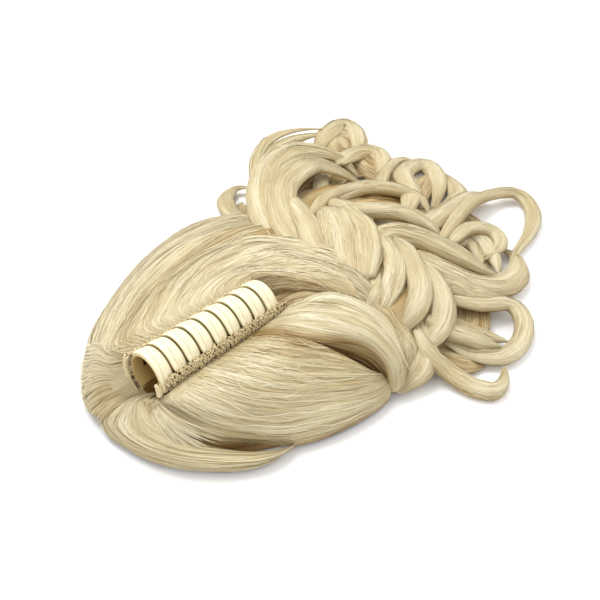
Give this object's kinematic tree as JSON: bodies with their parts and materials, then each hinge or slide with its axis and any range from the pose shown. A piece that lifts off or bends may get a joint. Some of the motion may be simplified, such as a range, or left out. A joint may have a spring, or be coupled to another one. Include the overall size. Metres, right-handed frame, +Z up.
{
  "type": "claw-clip ponytail hairpiece",
  "caption": "Curled blonde ponytail hairpiece, with smooth side rolls stitched to both jaws of a sprung claw clip, lying with the clip on top.",
  "frame": {"origin": "on the surface that the hair lies on, below the middle of the clip", "axes": "+X along the clip and its hinge towards the curls, +Y towards the left jaw, +Z up away from the surface"},
  "size_m": [0.4082, 0.3279, 0.0549],
  "materials": {
    "clip_plastic": "moulded ivory plastic, satin gloss",
    "spring_steel": "bright drawn wire",
    "weft_thread": "machine-stitched golden brown thread over hair",
    "blonde_fibre": "synthetic blonde hair fibre, soft sheen"
  },
  "bodies": {
    "root": {"hinge_pin": "spring_steel", "torsion_spring": "spring_steel", "back_hair": "blonde_fibre", "tail": "blonde_fibre"},
    "left_half": {"jaw_left": "clip_plastic", "weft_left": "weft_thread", "side_hair_left": "blonde_fibre"},
    "right_half": {"jaw_right": "clip_plastic", "weft_right": "weft_thread", "side_hair_right": "blonde_fibre"}
  },
  "joints": [
    {"name": "left_jaw", "type": "hinge", "parent": "root", "child": "left_half", "pos_m": [0, 0, 0.02], "axis": [-1, 0, 0], "range_deg": [0, 45], "stiffness_Nm_per_rad": 0.3, "springref_deg": -45.84},
    {"name": "right_jaw", "type": "hinge", "parent": "root", "child": "right_half", "pos_m": [0, 0, 0.02], "axis": [1, 0, 0], "range_deg": [0, 45], "stiffness_Nm_per_rad": 0.3, "springref_deg": -45.84}
  ],
  "couplings": [
    {"joint": "right_jaw", "follows": "left_jaw", "ratio": 1}
  ]
}
